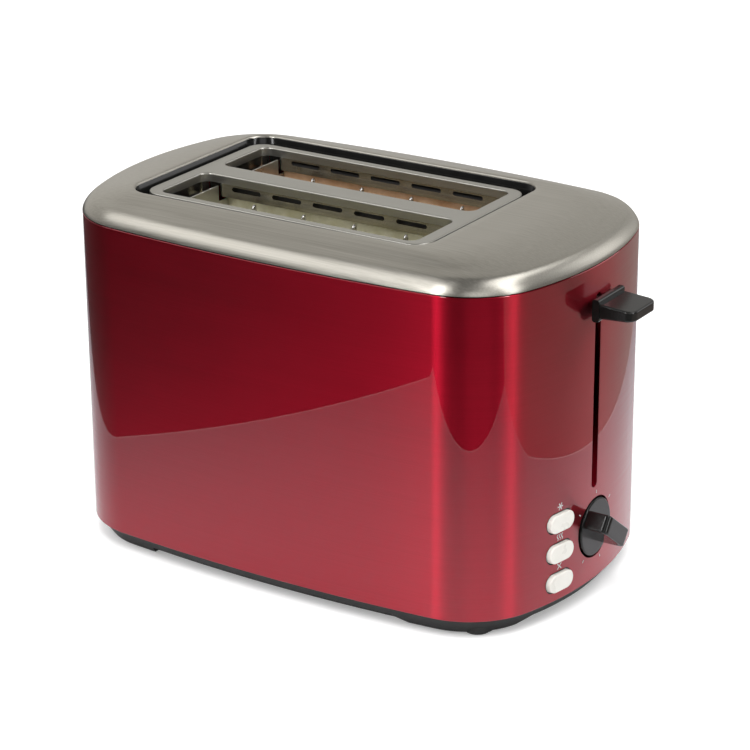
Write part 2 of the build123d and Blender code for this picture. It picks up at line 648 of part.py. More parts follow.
def browning_dial():
    """A disc in the wrap's hole, with a bar grip across it."""
    disc = rod_x((WALL_X - 6, WALL_X + 0.6), 0, 0, DIAL_R)
    disc = fillet(disc.edges().filter_by(GeomType.CIRCLE).sort_by(Axis.X)[-1], 0.8)
    root, outer = GRIP_HALF
    x = (WALL_X, WALL_X + GRIP_HEIGHT)
    profile = Polyline((x[0], -root), (x[1], -outer), (x[1], outer), (x[0], root), close=True)
    bar = extrude(Plane.XZ * make_face(profile), GRIP_THICK / 2, both=True)
    ends = bar.edges().filter_by(Axis.Y).sort_by(Axis.X)[-2:]
    bar = fillet(ends, 3.0)
    outer_rim = bar.faces().sort_by(Axis.X)[-1].edges().filter_by(Axis.Z)
    knob = disc + fillet(outer_rim, 1.0)
    knob -= rod_x((WALL_X - 7, WALL_X + 6), 0, 0, SHAFT_R)
    return Pos(0, 0, DIAL_Z) * Rot(DIAL_TURN, 0, 0) * knob


def dial_shaft():
    start = BOARD_X + BOARD_THICK + 1.2
    return rod_x((start, WALL_X + 6), 0, DIAL_Z, SHAFT_R)


def push_button(z):
    """A pill-shaped cap whose face follows the wall, with a flange behind the wall and a stem."""
    back = WALL_X - 9.1
    cap = pill_x(BUTTON_Y, z, (back, WALL_X + 6), *BUTTON_SIZE)
    cap = cap & prism(plan(-BUTTON_STANDS_OUT), (z - 10, z + 10))
    rim = [e for e in cap.edges() if e.bounding_box().min.X > back + 3]
    cap = fillet([e for e in rim if e.geom_type != GeomType.LINE], 0.7)
    flange = pill_x(BUTTON_Y, z, (back, back + 1.5), BUTTON_SIZE[0] + 2.4, BUTTON_SIZE[1] + 2.4)
    stem_end = BOARD_X + BOARD_THICK + 6.5 + BUTTON_TRAVEL
    stem = box((stem_end, back + 1), (BUTTON_Y - 2.7, BUTTON_Y + 2.7), (z - 2.7, z + 2.7))
    return cap + flange + stem


def button_carrier():
    """Moulded plate behind the wall that guides the buttons' stems, on a foot."""
    x = (WALL_X - 16.0, WALL_X - 14.0)
    y = (BUTTON_Y - 8, BUTTON_Y + 10)
    carrier = box(x, y, (FLOOR_Z[1], 60)) + box((x[0] - 6, x[1]), y, (FLOOR_Z[1], 8.5))
    for z in BUTTON_Z:
        carrier -= box((x[0] - 1, x[1] + 1), (BUTTON_Y - 3, BUTTON_Y + 3), (z - 3, z + 3))
    return carrier


os.makedirs("parts", exist_ok=True)
save("body_wrap", body_wrap())
save("top_cover", top_cover())
save("slot_bezel", slot_bezel())
save("slot_liner_front", slot_liner(-1))
save("slot_liner_rear", slot_liner(1))
save("top_frame", top_frame())
save("cover_screws", cover_screws())
save("base", base())
save("rubber_feet", rubber_feet())
save("base_screws", base_screws())
save("crumb_tray", crumb_tray())
save("crumb_tray_handle", crumb_tray_handle())
save("cord_gland", cord_gland())
save("end_plate_lever_side", end_plate(True))
save("end_plate_rear_side", end_plate(False))
for place, y in (("front", -BOARD_Y), ("centre", 0.0), ("rear", BOARD_Y)):
    save(f"heater_board_{place}", heater_board(y))
save("heater_ribbon_front", ribbon(-BOARD_Y, 1))
save("heater_ribbon_rear", ribbon(BOARD_Y, -1))
save("heater_ribbon_centre", Compound(children=[ribbon(0, -1), ribbon(0, 1)]))
save("reflector_front", reflector(-1))
save("reflector_rear", reflector(1))
save("guard_front_outer", guard(-SLOT_Y - GUARD_OFF))
save("guard_front_inner", guard(-SLOT_Y + GUARD_OFF))
save("guard_rear_inner", guard(SLOT_Y - GUARD_OFF))
save("guard_rear_outer", guard(SLOT_Y + GUARD_OFF))
save("bread_rack_front", bread_rack(-1))
save("bread_rack_rear", bread_rack(1))
save("carriage_bracket", carriage_bracket())
save("slide_block", slide_block())
save("lever_arm", lever_arm())
save("lever_knob", lever_knob())
save("keeper_plate", keeper_plate())
save("guide_rods", guide_rods())
save("rod_bracket", rod_bracket())
save("lift_springs", lift_springs())
save("magnet_core", magnet_core())
save("magnet_coil", magnet_coil())
save("circuit_board", circuit_board())
save("potentiometer", potentiometer())
save("button_switches", button_switches())
save("board_parts", board_parts())
save("switch_block", switch_block())
save("switch_blades", switch_blades())
save("browning_dial", browning_dial())
save("dial_shaft", dial_shaft())
for name, z in zip(("defrost_button", "reheat_button", "cancel_button"), BUTTON_Z):
    save(name, push_button(z))
save("button_carrier", button_carrier())
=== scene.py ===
import json
import math

import bmesh
import bpy
from mathutils import Matrix, Vector


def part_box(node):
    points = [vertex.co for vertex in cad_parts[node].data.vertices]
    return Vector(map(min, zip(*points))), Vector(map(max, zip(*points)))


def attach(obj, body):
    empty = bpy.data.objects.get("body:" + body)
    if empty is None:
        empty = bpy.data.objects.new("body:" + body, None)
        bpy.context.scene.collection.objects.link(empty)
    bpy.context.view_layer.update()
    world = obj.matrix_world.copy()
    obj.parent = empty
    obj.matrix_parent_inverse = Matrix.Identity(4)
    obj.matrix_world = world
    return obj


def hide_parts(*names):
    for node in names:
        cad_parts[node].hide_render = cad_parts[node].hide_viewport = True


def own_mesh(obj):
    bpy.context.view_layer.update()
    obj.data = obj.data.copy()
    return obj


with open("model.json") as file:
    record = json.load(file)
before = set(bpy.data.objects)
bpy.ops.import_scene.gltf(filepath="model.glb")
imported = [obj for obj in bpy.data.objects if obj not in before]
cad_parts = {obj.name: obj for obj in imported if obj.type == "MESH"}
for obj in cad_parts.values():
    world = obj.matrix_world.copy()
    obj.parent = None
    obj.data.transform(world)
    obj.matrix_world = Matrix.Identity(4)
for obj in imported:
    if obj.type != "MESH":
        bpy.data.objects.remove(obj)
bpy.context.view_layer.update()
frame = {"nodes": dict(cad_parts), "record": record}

MM = 0.001

# ------------------------------------------------------------------ sizes in mm
# Boxes come from the frame. What a box doesn't tell is a number, the CAD's own unless a comment says so.
WRAP_LO, WRAP_HI = [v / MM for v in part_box("body_wrap")]
CX = (WRAP_LO.x + WRAP_HI.x) / 2
HALF_L, HALF_W = (WRAP_HI.x - WRAP_LO.x) / 2, (WRAP_HI.y - WRAP_LO.y) / 2
WALL_X = WRAP_HI.x
WRAP_Z = (WRAP_LO.z, WRAP_HI.z)
LIP_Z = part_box("top_cover")[1].z / MM
SEAM_Z = LIP_Z - 12.0
END_BOW, SIDE_BOW, CORNER_R = 18.5, 6.7, 41.0       # how far the ends and sides bow out, and the corners
SHEET = 0.8                                         # thickness of the wrap
LEVER_SLOT_Z, LEVER_SLOT_WIDTH = (57.0, 154.5), 6.0
DIAL_HOLE, GLAND_HOLE = 30.4, 10.2
BUTTONS = ("defrost_button", "reheat_button", "cancel_button")
BUTTON_SIZE, BUTTON_HOLE_EXTRA = (17.0, 9.0), 1.5   # the CAD's holes are only 0.8 larger than the buttons
OPEN_X = (CX - 96.5, CX + 70.5)                     # the cover's opening
OPEN_HALF_Y, OPEN_R = 55.5, 12.0
BREAD_SLOT_Y = 25.6                                 # a bread slot's middle line
GUARD_TOP_RAIL_Z = 155.8                            # 0.2 under the CAD's, clear of the rod bracket
GUARD_WIRE_X = (-55.0, -26.0, 3.0, 32.0)            # from the body's middle
SPRING_Y = 14.0


def box_mm(node):
    """A CAD node's box in mm: its low corner and its high corner."""
    return [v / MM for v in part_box(node)]


def box_middle(node):
    """The middle of a CAD node's box in mm."""
    lo, hi = box_mm(node)
    return (lo + hi) / 2


# ------------------------------------------------------------------ materials
def new_material(name):
    m = bpy.data.materials.new(name)
    m.use_nodes = True
    nt = m.node_tree
    nt.nodes.clear()
    out = nt.nodes.new("ShaderNodeOutputMaterial")
    p = nt.nodes.new("ShaderNodeBsdfPrincipled")
    nt.links.new(p.outputs[0], out.inputs[0])
    return m, nt, p


def noise_node(nt, scale, detail=3.0, rough=0.6, stretch=(1, 1, 1)):
    """Noise in object space, stretched by a scale on each axis."""
    tc = nt.nodes.new("ShaderNodeTexCoord")
    mp = nt.nodes.new("ShaderNodeMapping")
    mp.inputs["Scale"].default_value = stretch
    n = nt.nodes.new("ShaderNodeTexNoise")
    n.inputs["Scale"].default_value = scale
    n.inputs["Detail"].default_value = detail
    n.inputs["Roughness"].default_value = rough
    nt.links.new(tc.outputs["Object"], mp.inputs[0])
    nt.links.new(mp.outputs[0], n.inputs["Vector"])
    return n.outputs["Fac"]


def ranged(nt, fac, lo, hi, at=(0.3, 0.7)):
    """A number that goes from lo to hi as fac goes across at."""
    r = nt.nodes.new("ShaderNodeMapRange")
    r.inputs["From Min"].default_value, r.inputs["From Max"].default_value = at
    r.inputs["To Min"].default_value, r.inputs["To Max"].default_value = lo, hi
    nt.links.new(fac, r.inputs[0])
    return r.outputs[0]


def tinted(nt, fac, a, b, at=(0.3, 0.7)):
    """A colour that goes from a to b as fac goes across at."""
    ramp = nt.nodes.new("ShaderNodeValToRGB")
    ramp.color_ramp.elements[0].position, ramp.color_ramp.elements[1].position = at
    ramp.color_ramp.elements[0].color = (*a, 1)
    ramp.color_ramp.elements[1].color = (*b, 1)
    nt.links.new(fac, ramp.inputs[0])
    return ramp.outputs[0]


def add_bump(nt, p, height, strength, distance):
    b = nt.nodes.new("ShaderNodeBump")
    b.inputs["Strength"].default_value = strength
    b.inputs["Distance"].default_value = distance
    nt.links.new(height, b.inputs["Height"])
    nt.links.new(b.outputs[0], p.inputs["Normal"])


def brushed(name, dark, light, rough, stretch, bump=0.06, aniso=0.7, uv=None):
    """Brushed sheet metal: streaks that run along the axes whose scale in stretch is small."""
    m, nt, p = new_material(name)
    streak = noise_node(nt, 1.0, 4.0, 0.7, stretch)
    broad = noise_node(nt, 9.0, 2.0)
    mix = nt.nodes.new("ShaderNodeMath")
    mix.operation = "MULTIPLY_ADD"
    mix.inputs[1].default_value = 0.75
    nt.links.new(streak, mix.inputs[0])
    quarter = nt.nodes.new("ShaderNodeMath")
    quarter.operation = "MULTIPLY"
    quarter.inputs[1].default_value = 0.25
    nt.links.new(broad, quarter.inputs[0])
    nt.links.new(quarter.outputs[0], mix.inputs[2])
    nt.links.new(tinted(nt, mix.outputs[0], dark, light), p.inputs["Base Color"])
    nt.links.new(ranged(nt, mix.outputs[0], rough * 0.82, rough * 1.2), p.inputs["Roughness"])
    p.inputs["Metallic"].default_value = 1.0
    p.inputs["Anisotropic"].default_value = aniso
    add_bump(nt, p, streak, bump, 0.0001)
    if uv:
        t = nt.nodes.new("ShaderNodeTangent")
        t.direction_type = "UV_MAP"
        t.uv_map = uv
        nt.links.new(t.outputs[0], p.inputs["Tangent"])
    return m, nt, p


def plain(name, a, b, rough, metallic=0.0, scale=60.0, bump=0.05, depth=0.0002, coat=0.0, rough_span=0.25):
    """Moulded plastic, rubber, cast or plated metal: mottled colour, gloss and a fine grain."""
    m, nt, p = new_material(name)
    fine = noise_node(nt, scale * 40, 3.0)
    broad = noise_node(nt, scale, 3.0)
    nt.links.new(tinted(nt, broad, a, b), p.inputs["Base Color"])
    nt.links.new(ranged(nt, broad, rough * (1 - rough_span), rough * (1 + rough_span)), p.inputs["Roughness"])
    p.inputs["Metallic"].default_value = metallic
    if coat:
        p.inputs["Coat Weight"].default_value = coat
        p.inputs["Coat Roughness"].default_value = 0.06
    add_bump(nt, p, fine, bump, depth)
    return m, nt, p


LACQUER, _, lac = brushed("lacquered_steel", (0.37, 0.006, 0.020), (0.45, 0.008, 0.027), 0.38, (9, 9, 2600),
                          bump=0.05, aniso=0.95, uv="along")
lac.inputs["Coat Weight"].default_value = 1.0
lac.inputs["Coat Roughness"].default_value = 0.015
lac.inputs["Coat IOR"].default_value = 1.5
COVER, _, _ = brushed("brushed_cover", (0.42, 0.40, 0.35), (0.62, 0.595, 0.54), 0.34, (9, 1500, 1500),
                      bump=0.14, aniso=0.5, uv="along")
BEZEL, _, _ = brushed("bezel_steel", (0.46, 0.45, 0.41), (0.53, 0.52, 0.48), 0.34, (10, 2200, 2200),
                      bump=0.02, aniso=0.2)
LINER, _, _ = brushed("liner_steel", (0.42, 0.40, 0.37), (0.56, 0.54, 0.50), 0.16, (10, 10, 700),
                      bump=0.05, aniso=0.2)
PLATED, _, _ = brushed("plated_sheet", (0.50, 0.49, 0.46), (0.66, 0.65, 0.62), 0.30, (60, 60, 60),
                       bump=0.05, aniso=0.0)
TRAY, _, _ = brushed("tray_steel", (0.50, 0.49, 0.47), (0.64, 0.63, 0.61), 0.30, (6, 800, 800),
                     bump=0.06, aniso=0.3)
WIRE, _, _ = plain("plated_wire", (0.55, 0.54, 0.52), (0.72, 0.71, 0.69), 0.20, 1.0, 40, 0.05)
SCREW, _, _ = plain("zinc_plated", (0.50, 0.50, 0.49), (0.66, 0.66, 0.66), 0.26, 1.0, 90, 0.05)
RIBBON, _, _ = plain("oxidised_ribbon", (0.16, 0.12, 0.10), (0.30, 0.25, 0.21), 0.45, 1.0, 120, 0.1)
MICA, _, _ = plain("mica_board", (0.62, 0.58, 0.36), (0.88, 0.85, 0.66), 0.42, 0.0, 70, 0.2, 0.0003, 0.3)
MICA_AMBER, _, _ = plain("mica_amber", (0.50, 0.27, 0.14), (0.78, 0.52, 0.33), 0.42, 0.0, 70, 0.2, 0.0003, 0.3)
FRAME, _, _ = plain("black_frame", (0.010, 0.010, 0.010), (0.022, 0.021, 0.020), 0.50, 0.0, 80, 0.12)
BASE, _, base = plain("base_plastic", (0.012, 0.012, 0.012), (0.020, 0.020, 0.019), 0.50, 0.0, 60, 0.25, 0.0002)
base.inputs["Specular IOR Level"].default_value = 0.30
RUBBER, _, _ = plain("foot_rubber", (0.012, 0.012, 0.012), (0.025, 0.025, 0.024), 0.75, 0.0, 90, 0.3, 0.0003)
BLACK, _, black = plain("black_gloss", (0.003, 0.003, 0.003), (0.007, 0.007, 0.0065), 0.16, 0.0, 40,
                        0.03, 0.0001)
black.inputs["Specular IOR Level"].default_value = 0.38
WHITE, _, _ = plain("button_white", (0.55, 0.54, 0.50), (0.62, 0.61, 0.57), 0.30, 0.0, 50, 0.04, 0.0001, 0.35)
NYLON, _, _ = plain("nylon", (0.62, 0.61, 0.56), (0.74, 0.73, 0.68), 0.45, 0.0, 60, 0.1)
IRON, _, _ = plain("laminated_iron", (0.14, 0.14, 0.15), (0.26, 0.26, 0.27), 0.42, 0.9, 80, 0.2)
COIL, _, _ = plain("taped_coil", (0.42, 0.26, 0.03), (0.58, 0.38, 0.06), 0.30, 0.0, 50, 0.2, 0.0003, 0.4)
CIRCUIT, _, _ = plain("circuit", (0.02, 0.12, 0.05), (0.04, 0.20, 0.09), 0.30, 0.0, 70, 0.1, 0.0001, 0.4)
COMPONENT, _, _ = plain("component", (0.02, 0.02, 0.03), (0.05, 0.05, 0.07), 0.45, 0.0, 70, 0.1)
BRASS, _, _ = plain("contact_brass", (0.55, 0.38, 0.14), (0.70, 0.52, 0.22), 0.28, 1.0, 90, 0.05)
PRINT, _, _ = plain("grey_print", (0.42, 0.40, 0.40), (0.52, 0.50, 0.50), 0.45, 0.0, 120, 0.05)

BY_SLOT = {
    "lacquered_steel": LACQUER, "brushed_cover": COVER, "bezel_steel": BEZEL, "liner_steel": LINER,
    "frame_plastic": FRAME, "base_plastic": BASE, "foot_rubber": RUBBER, "screw_steel": SCREW,
    "tray_steel": TRAY, "plated_sheet": PLATED, "mica": MICA, "ribbon": RIBBON, "wire": WIRE, "nylon": NYLON,
    "black_gloss": BLACK, "rod_steel": SCREW, "spring_steel": WIRE, "iron": IRON, "coil_wrap": COIL,
    "circuit": CIRCUIT, "component": COMPONENT, "contact_brass": BRASS, "button_white": WHITE,
}
SLOT_OF = {row["node"]: row["material_slot"] for row in frame["record"]["subparts"]}
for name, node in frame["nodes"].items():
    node.data.materials.clear()
    node.data.materials.append(BY_SLOT[SLOT_OF[name]])


# ------------------------------------------------------------------ mesh helpers
def mesh_object(name, verts, faces, material):
    me = bpy.data.meshes.new(name)
    me.from_pydata([(x * MM, y * MM, z * MM) for x, y, z in verts], [], faces)
    me.materials.append(material)
    o = bpy.data.objects.new(name, me)
    bpy.context.scene.collection.objects.link(o)
    return o


def use(o, body, slot, *nodes):
    """Hangs a piece on its body and hides the CAD nodes it stands for. The slot argument is not used."""
    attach(o, body)
    if nodes:
        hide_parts(*nodes)
    return o


def smooth(o, angle=35):
    for f in o.data.polygons:
        f.use_smooth = True
    o.data.set_sharp_from_angle(angle=math.radians(angle))
    return o


def apply_modifiers(o):
    """Bakes the modifiers into the mesh."""
    dg = bpy.context.evaluated_depsgraph_get()
    me = bpy.data.meshes.new_from_object(o.evaluated_get(dg))
    old = o.data
    o.modifiers.clear()
    o.data = me
    bpy.data.meshes.remove(old)
    return o


def loft_rings(rings, closed_ends=(False, False)):
    """Verts and quads through rings of the same number of points."""
    n = len(rings[0])
    verts = [p for ring in rings for p in ring]
    faces = []
    for k in range(len(rings) - 1):
        for i in range(n):
            j = (i + 1) % n
            faces.append((k * n + i, k * n + j, (k + 1) * n + j, (k + 1) * n + i))
    if closed_ends[0]:
        faces.append(tuple(reversed(range(n))))
    if closed_ends[1]:
        faces.append(tuple((len(rings) - 1) * n + i for i in range(n)))
    return verts, faces


def loft_loop(rings):
    """The same, with the last ring joined to the first."""
    verts, faces = loft_rings(rings)
    n, last = len(rings[0]), (len(rings) - 1) * len(rings[0])
    faces += [(last + i, last + (i + 1) % n, (i + 1) % n, i) for i in range(n)]
    return verts, faces


# ------------------------------------------------------------------ the body's plan outline
def arc_radius(chord, bow):
    return (chord * chord + bow * bow) / (2 * bow)


SIDE_R = arc_radius(HALF_L - END_BOW, SIDE_BOW)
END_R = arc_radius(HALF_W - SIDE_BOW, END_BOW)
SIDE_C = SIDE_R - HALF_W        # a long side's arc centre is this far beyond the middle line
END_C = HALF_L - END_R          # an end's arc centre, from the middle


def corner_centre():
    """Centre of the corner arc that touches the end arc and the long side's arc from inside."""
    x0, y0, r0 = END_C, 0.0, END_R - CORNER_R
    x1, y1, r1 = 0.0, -SIDE_C, SIDE_R - CORNER_R
    d = math.hypot(x1 - x0, y1 - y0)
    a = (r0 * r0 - r1 * r1 + d * d) / (2 * d)
    h = math.sqrt(r0 * r0 - a * a)
    mx, my = x0 + a * (x1 - x0) / d, y0 + a * (y1 - y0) / d
    one = (mx + h * (y1 - y0) / d, my - h * (x1 - x0) / d)
    two = (mx - h * (y1 - y0) / d, my + h * (x1 - x0) / d)
    return one if one[0] > two[0] else two


KX, KY = corner_centre()
A_END = math.atan2(KY, KX - END_C)              # the end arc meets the corner at this angle
A_SIDE = math.atan2(KY + SIDE_C, KX)            # and the long side's arc at this one


def quarter(n_end, n_corner, n_side):
    """(x, y, nx, ny) from the +X end's middle round to the +Y side's middle."""
    out = []
    for i in range(n_end):
        t = A_END * i / n_end
        out.append((END_C + END_R * math.cos(t), END_R * math.sin(t), math.cos(t), math.sin(t)))
    for i in range(n_corner):
        t = A_END + (A_SIDE - A_END) * i / n_corner
        out.append((KX + CORNER_R * math.cos(t), KY + CORNER_R * math.sin(t), math.cos(t), math.sin(t)))
    for i in range(n_side + 1):
        t = A_SIDE + (math.pi / 2 - A_SIDE) * i / n_side
        out.append((SIDE_R * math.cos(t), -SIDE_C + SIDE_R * math.sin(t), math.cos(t), math.sin(t)))
    return out


def outline(n_end=10, n_corner=20, n_side=16):
    q = quarter(n_end, n_corner, n_side)
    left = [(-x, y, -nx, ny) for x, y, nx, ny in reversed(q[1:-1])]
    upper = q + left + [(-q[0][0], 0.0, -1.0, 0.0)]
    lower = [(x, -y, nx, -ny) for x, y, nx, ny in reversed(upper[1:-1])]
    return upper + lower


OUTLINE = outline()


def inset(d, z, points=None):
    return [(CX + x - nx * d, y - ny * d, z) for x, y, nx, ny in (points or OUTLINE)]


def plan_normal(x, y):
    """The outline's outward direction nearest to a point in mm, from the same arcs."""
    ax, ay = abs(x - CX), abs(y)
    at_end = math.atan2(ay, ax - END_C) if ax > END_C else math.pi / 2
    at_side = math.atan2(ay + SIDE_C, ax)
    if at_side >= A_SIDE:
        n = (math.cos(at_side), math.sin(at_side))
    elif at_end <= A_END:
        n = (math.cos(at_end), math.sin(at_end))
    else:
        t = math.atan2(ay - KY, ax - KX)
        n = (math.cos(t), math.sin(t))
    return (math.copysign(n[0], x - CX), math.copysign(n[1], y if y else 1.0))


def wall_x(y):
    """The lever end's outer x at this y, in mm."""
    return CX + END_C + math.sqrt(END_R ** 2 - y * y)


def along_uv(o, kind):
    """A UV map whose u runs across the brush lines, for the direction of the highlights."""
    me = o.data
    uv = me.uv_layers.new(name="along")
    for poly in me.polygons:
        for li in poly.loop_indices:
            co = me.vertices[me.loops[li].vertex_index].co
            if kind == "wall":
                n = plan_normal(co.x / MM, co.y / MM)
                uv.data[li].uv = (co.z * 4, (-n[1] * co.x + n[0] * co.y) * 4)
            else:
                uv.data[li].uv = (co.y * 4 + 0.5, co.x * 4 + 0.5)


def cut(o, *cutters):
    for c in cutters:
        m = o.modifiers.new("cut", "BOOLEAN")
        m.operation, m.object, m.solver = "DIFFERENCE", c, "EXACT"
    apply_modifiers(o)
    for c in cutters:
        bpy.data.objects.remove(c)
    return o


def pill_points(cy, cz, width, height, n=20):
    """A pill or a circle in the YZ plane."""
    r = min(width, height) / 2
    out = []
    for i in range(4 * n):
        t = 2 * math.pi * i / (4 * n)
        dy = math.copysign(width / 2 - r, math.cos(t)) if abs(math.cos(t)) > 1e-9 else 0
        dz = math.copysign(height / 2 - r, math.sin(t)) if abs(math.sin(t)) > 1e-9 else 0
        out.append((cy + dy + r * math.cos(t), cz + dz + r * math.sin(t)))
    return out


def prism_x(name, points, x0, x1, material=FRAME):
    verts, faces = loft_rings([[(x, y, z) for y, z in points] for x in (x0, x1)], (True, True))
    return mesh_object(name, verts, faces, material)


# ------------------------------------------------------------------ red wrap
def wall_normals(o):
    """Exact normals on the wall's two faces, so that the gloss runs smoothly past the holes."""
    me = o.data
    normals = [None] * len(me.loops)
    for poly in me.polygons:
        n = poly.normal
        for li in poly.loop_indices:
            co = me.vertices[me.loops[li].vertex_index].co
            w = plan_normal(co.x / MM, co.y / MM)
            facing = n.x * w[0] + n.y * w[1]
            if abs(facing) > 0.9:
                sign = math.copysign(1.0, facing)
                normals[li] = (sign * w[0], sign * w[1], 0)
            else:
                normals[li] = tuple(n)
        poly.use_smooth = True
    me.normals_split_custom_set(normals)


def lever_slot_points(inward):
    """The lever slot's outline, drawn in by this much all round."""
    height = LEVER_SLOT_Z[1] - LEVER_SLOT_Z[0]
    return pill_points(box_middle("lever_arm").y, sum(LEVER_SLOT_Z) / 2, LEVER_SLOT_WIDTH - 2 * inward,
                       height - 2 * inward, 6)


def button_points(name, extra):
    """A button's outline, wider and higher by this much."""
    c = box_middle(name)
    return pill_points(c.y, c.z, BUTTON_SIZE[0] + extra, BUTTON_SIZE[1] + extra, 8)


def edge_band(name, outer, inner, depth, material, slot):
    """A closed band between two outlines, from one depth behind the lever end's face to another."""
    fold = [(outer, depth[0]), (inner, depth[0]), (inner, depth[1]), (outer, depth[1])]
    rings = [[(wall_x(y) - back, y, z) for y, z in points] for points, back in fold]
    o = mesh_object(name, *loft_loop(rings), material)
    bm = bmesh.new()
    bm.from_mesh(o.data)
    bmesh.ops.recalc_face_normals(bm, faces=bm.faces)
    bm.to_mesh(o.data)
    bm.free()
    along_uv(o, "wall")
    return use(smooth(o), "housing", slot)


def build_edges():
    """The sheet's edge folded in round the lever slot, and black bands in the gaps round the buttons, which are
    painted shade.
    """
    edge_band("slot_rim", lever_slot_points(0.0), lever_slot_points(0.4), (0.04, 2.6),
              LACQUER, "lacquered_steel")
    # black bands inside the button holes: painted shade in the gaps round the buttons
    for name in BUTTONS:
        edge_band("painted_shade_" + name, button_points(name, BUTTON_HOLE_EXTRA), button_points(name, 0.3), (0.3, 0.7),
                  FRAME, "frame_plastic")


def build_wrap():
    """The wall with a small round on its top and bottom edges, and holes for what passes through."""
    z0, z1 = WRAP_Z
    heights = [z0, z0 + 0.25] + [z0 + (z1 - z0) * i / 14 for i in range(1, 14)] + [z1 - 0.25, z1]
    rings = [inset(0.18 if z in (z0, z1) else 0.0, z) for z in heights]
    rings += [inset(SHEET, z1), inset(SHEET, z0)]
    o = mesh_object("wrap", *loft_loop(rings), LACQUER)
    through = WALL_X - 9, WALL_X + 6
    dial_z = box_middle("dial_shaft").z
    gland_z = box_middle("cord_gland").z
    cutters = [prism_x("cut_slot", lever_slot_points(0.0), *through),
               prism_x("cut_dial", pill_points(0, dial_z, DIAL_HOLE, DIAL_HOLE, 16), *through)]
    for name in BUTTONS:
        cutters.append(prism_x("cut_" + name, button_points(name, BUTTON_HOLE_EXTRA), *through))
    cutters.append(prism_x("cut_gland", pill_points(0, gland_z, GLAND_HOLE, GLAND_HOLE, 8),
                           WRAP_LO.x - 4, WRAP_LO.x + 9))
    cut(o, *cutters)
    along_uv(o, "wall")
    wall_normals(o)
    return use(o, "housing", "lacquered_steel", "body_wrap")


# ------------------------------------------------------------------ domed cover
ROLL, EDGE, CROWN = 5.7, 5.6, 6.4       # the rim's rounding and its height, and how far the top is domed
CROWN_REACH = 42.0                      # the dome levels off this far in from the edge
LIP = 1.1                               # radius of the opening's rolled edge
EDGE_STEPS = (0.0, 0.12, 0.35, 0.7, 1.15, 1.7, 2.4, 3.2, 4.1, 5.0, 5.7, 7.0, 9.0, 12.0)
TOP_STEPS = 12


def opening_point(k):
    """The opening's outline point that answers to outline point k: end to end, corner to corner."""
    x, y, nx, ny = OUTLINE[k]
    side = 1 if x > 0 else -1
    x_edge = OPEN_X[1] if x > 0 else OPEN_X[0]
    inner_x, inner_y = abs(x_edge - CX) - OPEN_R, OPEN_HALF_Y - OPEN_R
    t = math.atan2(abs(ny), abs(nx))
    if t <= A_END:
        return (x_edge, math.copysign(inner_y * (abs(y) / (END_R * math.sin(A_END))), y), 1.0 * side, 0.0)
    if t >= A_SIDE:
        share = abs(x) / (SIDE_R * math.cos(A_SIDE))
        return (CX + side * inner_x * share, math.copysign(OPEN_HALF_Y, y), 0.0, math.copysign(1.0, y))
    f = (t - A_END) / (A_SIDE - A_END) * math.pi / 2
    return (CX + side * (inner_x + OPEN_R * math.cos(f)), math.copysign(inner_y + OPEN_R * math.sin(f), y),
            side * math.cos(f), math.copysign(math.sin(f), y))


def opening_ring(out, z):
    """The opening's outline, moved outwards by this much."""
    points = [opening_point(k) for k in range(len(OUTLINE))]
    return [(x + nx * out, y + ny * out, z) for x, y, nx, ny in points]


def cover_z(d, t):
    """Height at distance d in from the edge, t being the share of the way to the opening."""
    roll = EDGE * (1 - (1 - min(d / ROLL, 1.0)) ** 1.5) ** (1 / 1.5)
    still_to_rise = CROWN * (1 - min(d / CROWN_REACH, 1.0)) ** 2
    lift = 0.8 * still_to_rise * max(0.0, (t - 0.3) / 0.7) ** 2
    height = roll + CROWN - still_to_rise + lift
    return SEAM_Z + 0.2 + (LIP_Z - SEAM_Z - 0.2) / (EDGE + CROWN) * height


def top_ring(step):
    """One ring of the top, on the way from the last edge step to the opening's rolled edge."""
    start, ring = EDGE_STEPS[-1], []
    edge = inset(start, 0.0)
    for (ax, ay, _), (bx, by, _) in zip(edge, opening_ring(LIP, 0.0)):
        f = step / TOP_STEPS
        width = math.hypot(bx - ax, by - ay)
        d = start + width * f
        z = min(cover_z(d, d / (start + width)), LIP_Z - 0.02)
        ring.append((ax + (bx - ax) * f, ay + (by - ay) * f, z))
    return ring


def build_cover():
    rings = [inset(1.2, SEAM_Z + 0.1), inset(0.15, SEAM_Z + 0.1)]
    rings += [inset(d, cover_z(d, 0.0)) for d in EDGE_STEPS]
    rings += [top_ring(step) for step in range(1, TOP_STEPS + 1)]
    tail = rings[-1]
    for angle in (30, 60, 90):
        a = math.radians(angle)
        drop, out = LIP * (1 - math.cos(a)), LIP * (1 - math.sin(a))
        rings.append([(x, y, p[2] - drop) for (x, y, _), p in zip(opening_ring(out, 0.0), tail)])
    rings.append(opening_ring(0.0, LIP_Z - 8.5))
    o = mesh_object("cover", *loft_rings(rings), COVER)
    along_uv(o, "top")
    smooth(o, 50)
    return use(o, "housing", "brushed_cover", "top_cover")


def build_groove():
    """Black gloss lining just inside the cover's rolled edge, which keeps the opening's inner wall dark."""
    profile = ((0.3, 0.9), (0.12, 1.1), (-0.25, 1.5), (-0.3, 11.8), (0.0, 11.9))
    rings = [opening_ring(out, LIP_Z - down) for out, down in profile]
    o = mesh_object("groove_lining", *loft_rings(rings), BLACK)
    smooth(o, 60)
    return use(o, "housing", "frame_plastic")


build_wrap()
build_edges()
build_cover()
build_groove()
frame["nodes"]["heater_board_rear"].data.materials[0] = MICA_AMBER      # it looks browned


